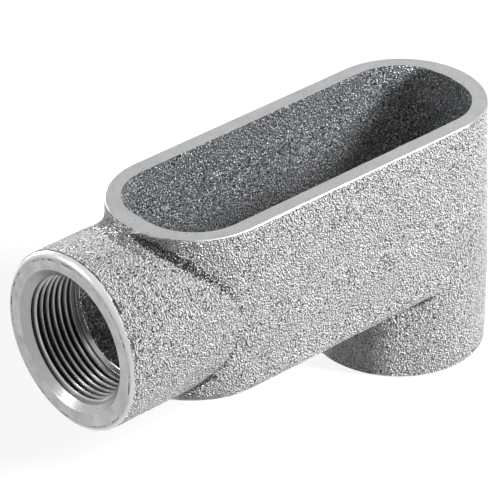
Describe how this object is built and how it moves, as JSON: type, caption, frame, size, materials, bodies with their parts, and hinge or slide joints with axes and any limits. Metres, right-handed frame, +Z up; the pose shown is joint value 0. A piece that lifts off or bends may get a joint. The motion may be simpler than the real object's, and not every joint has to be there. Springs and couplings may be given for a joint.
{
  "type": "conduit body",
  "caption": "Elbow-type cast iron conduit body: long open wiring chamber with a threaded hub at its end and another in its back.",
  "frame": {"origin": "on the back hub's axis where its thread begins, just inside the lead-in of the mouth", "axes": "+Z up from the back hub to the open rim, +X along the body away from the end hub, which points to -X"},
  "size_m": [0.1629, 0.056, 0.0834],
  "materials": {
    "zinc_coated_casting": "zinc-coated, rough as cast, with bright machined rim and hub faces"
  },
  "bodies": {
    "root": {"conduit_body": "zinc_coated_casting"}
  },
  "joints": []
}
